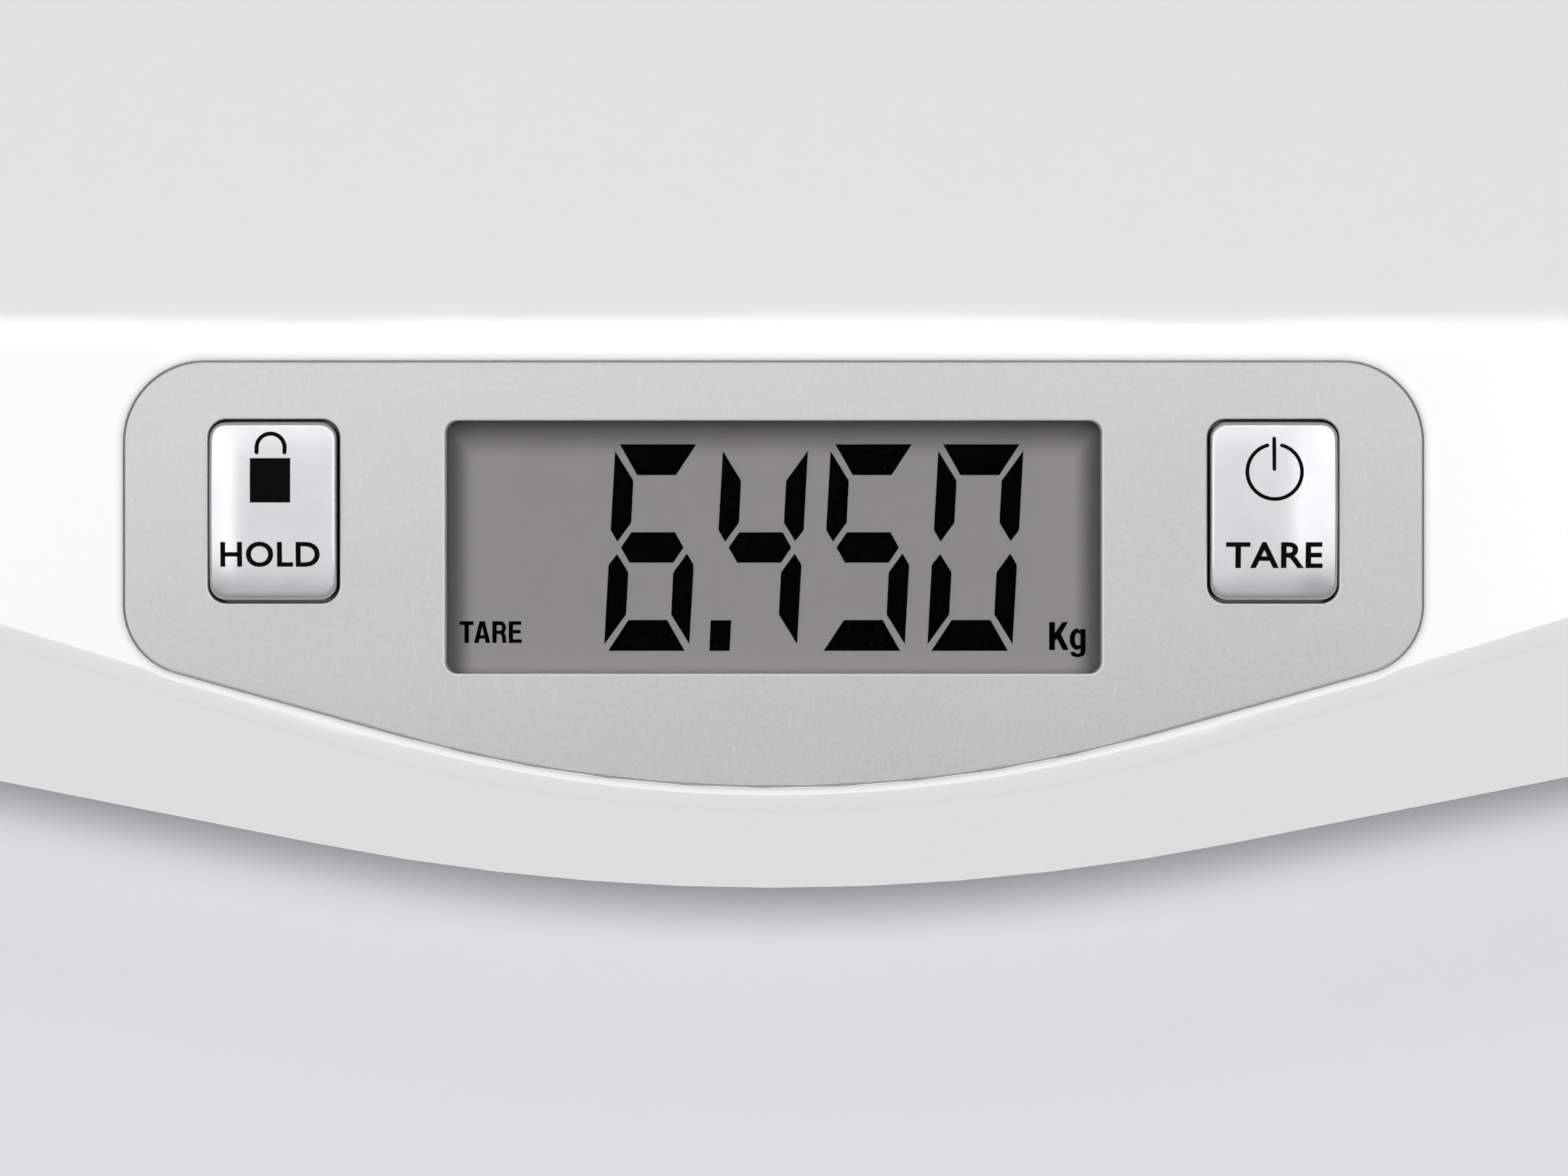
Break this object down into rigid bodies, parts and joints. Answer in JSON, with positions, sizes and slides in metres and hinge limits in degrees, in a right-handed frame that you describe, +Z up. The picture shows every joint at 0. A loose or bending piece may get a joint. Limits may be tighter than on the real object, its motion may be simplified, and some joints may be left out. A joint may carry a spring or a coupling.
{
  "type": "baby scale",
  "caption": "Electronic baby scale: white moulded tray with raised ends, front display console with two keys, bottom cover with battery bay and load cell feet.",
  "frame": {"origin": "on the floor, under the centre of the body's bounding box", "axes": "+Z up; +X to the right along the tray, seen from the front; -Y towards the front, where the console is"},
  "size_m": [0.56, 0.33, 0.0822],
  "materials": {
    "shell_white": "moulded ABS, soft gloss",
    "cover_grey": "moulded ABS, fine texture",
    "label_silver": "satin silver sheet with a fine grain",
    "cap_silver": "silver lacquered ABS",
    "lens_clear": "clear acrylic window",
    "panel_grey": "reflective liquid crystal panel, matte film",
    "holder_dark": "moulded, fine texture",
    "strip_rubber": "layered conductive silicone",
    "board_green": "glass epoxy laminate with solder mask",
    "chip_black": "epoxy",
    "connector_white": "nylon",
    "key_black": "nylon",
    "screw_steel": "zinc plated",
    "foot_rubber": "matte grey rubber",
    "cup_grey": "acetal",
    "cell_steel": "nickel plated spring steel",
    "retainer_white": "moulded ABS",
    "battery_jacket": "plain printed jacket",
    "contact_nickel": "nickel plated spring steel",
    "lead_white": "vinyl sheath",
    "lead_red": "vinyl sheath",
    "lead_black": "vinyl sheath"
  },
  "bodies": {
    "scale_body": {"battery_1": "battery_jacket", "battery_2": "battery_jacket", "battery_3": "battery_jacket", "battery_4": "battery_jacket", "battery_contacts": "contact_nickel", "battery_lead_front": "lead_red", "battery_lead_rear": "lead_black", "battery_springs": "contact_nickel", "board_screws": "screw_steel", "bottom_cover": "cover_grey", "console_label": "label_silver", "controller_blob": "chip_black", "converter_chip": "chip_black", "cover_screws": "screw_steel", "display_holder": "holder_dark", "display_lens": "lens_clear", "display_panel": "panel_grey", "hold_switch_case": "key_black", "left_sensor_connector": "connector_white", "load_cell_front_left": "cell_steel", "load_cell_front_right": "cell_steel", "load_cell_rear_left": "cell_steel", "load_cell_rear_right": "cell_steel", "load_cell_retainer_front_left": "retainer_white", "load_cell_retainer_front_right": "retainer_white", "load_cell_retainer_rear_left": "retainer_white", "load_cell_retainer_rear_right": "retainer_white", "lower_contact_strip": "strip_rubber", "main_board": "board_green", "power_connector": "connector_white", "retainer_screws": "screw_steel", "right_sensor_connector": "connector_white", "sensor_lead_front_left": "lead_white", "sensor_lead_front_right": "lead_white", "sensor_lead_rear_left": "lead_white", "sensor_lead_rear_right": "lead_white", "tare_switch_case": "key_black", "top_shell": "shell_white", "unit_switch_case": "key_black", "upper_contact_strip": "strip_rubber"},
    "hold_button": {"hold_button": "cap_silver", "hold_switch_plunger": "key_black"},
    "tare_button": {"tare_button": "cap_silver", "tare_switch_plunger": "key_black"},
    "battery_door": {"battery_door": "cover_grey"},
    "unit_knob": {"unit_switch_knob": "key_black"},
    "foot_front_left": {"foot_pad_front_left": "foot_rubber", "foot_cup_front_left": "cup_grey"},
    "foot_front_right": {"foot_pad_front_right": "foot_rubber", "foot_cup_front_right": "cup_grey"},
    "foot_rear_left": {"foot_pad_rear_left": "foot_rubber", "foot_cup_rear_left": "cup_grey"},
    "foot_rear_right": {"foot_pad_rear_right": "foot_rubber", "foot_cup_rear_right": "cup_grey"}
  },
  "joints": [
    {"name": "hold_press", "type": "slide", "parent": "scale_body", "child": "hold_button", "axis": [0, 0.2756, -0.9613], "range_m": [0, 0.0006], "stiffness_N_per_m": 2500},
    {"name": "tare_press", "type": "slide", "parent": "scale_body", "child": "tare_button", "axis": [0, 0.2756, -0.9613], "range_m": [0, 0.0006], "stiffness_N_per_m": 2500},
    {"name": "battery_door_hinge", "type": "hinge", "parent": "scale_body", "child": "battery_door", "pos_m": [0, 0.0786, 0.0091], "axis": [1, 0, 0], "range_deg": [0, 90]},
    {"name": "unit_switch_slide", "type": "slide", "parent": "scale_body", "child": "unit_knob", "axis": [1, 0, 0], "range_m": [0, 0.002]},
    {"name": "foot_front_left_flex", "type": "slide", "parent": "scale_body", "child": "foot_front_left", "axis": [0, 0, 1], "range_m": [0, 0.0004], "deforming": ["load_cell_front_left"]},
    {"name": "foot_front_right_flex", "type": "slide", "parent": "scale_body", "child": "foot_front_right", "axis": [0, 0, 1], "range_m": [0, 0.0004], "deforming": ["load_cell_front_right"]},
    {"name": "foot_rear_left_flex", "type": "slide", "parent": "scale_body", "child": "foot_rear_left", "axis": [0, 0, 1], "range_m": [0, 0.0004], "deforming": ["load_cell_rear_left"]},
    {"name": "foot_rear_right_flex", "type": "slide", "parent": "scale_body", "child": "foot_rear_right", "axis": [0, 0, 1], "range_m": [0, 0.0004], "deforming": ["load_cell_rear_right"]}
  ]
}
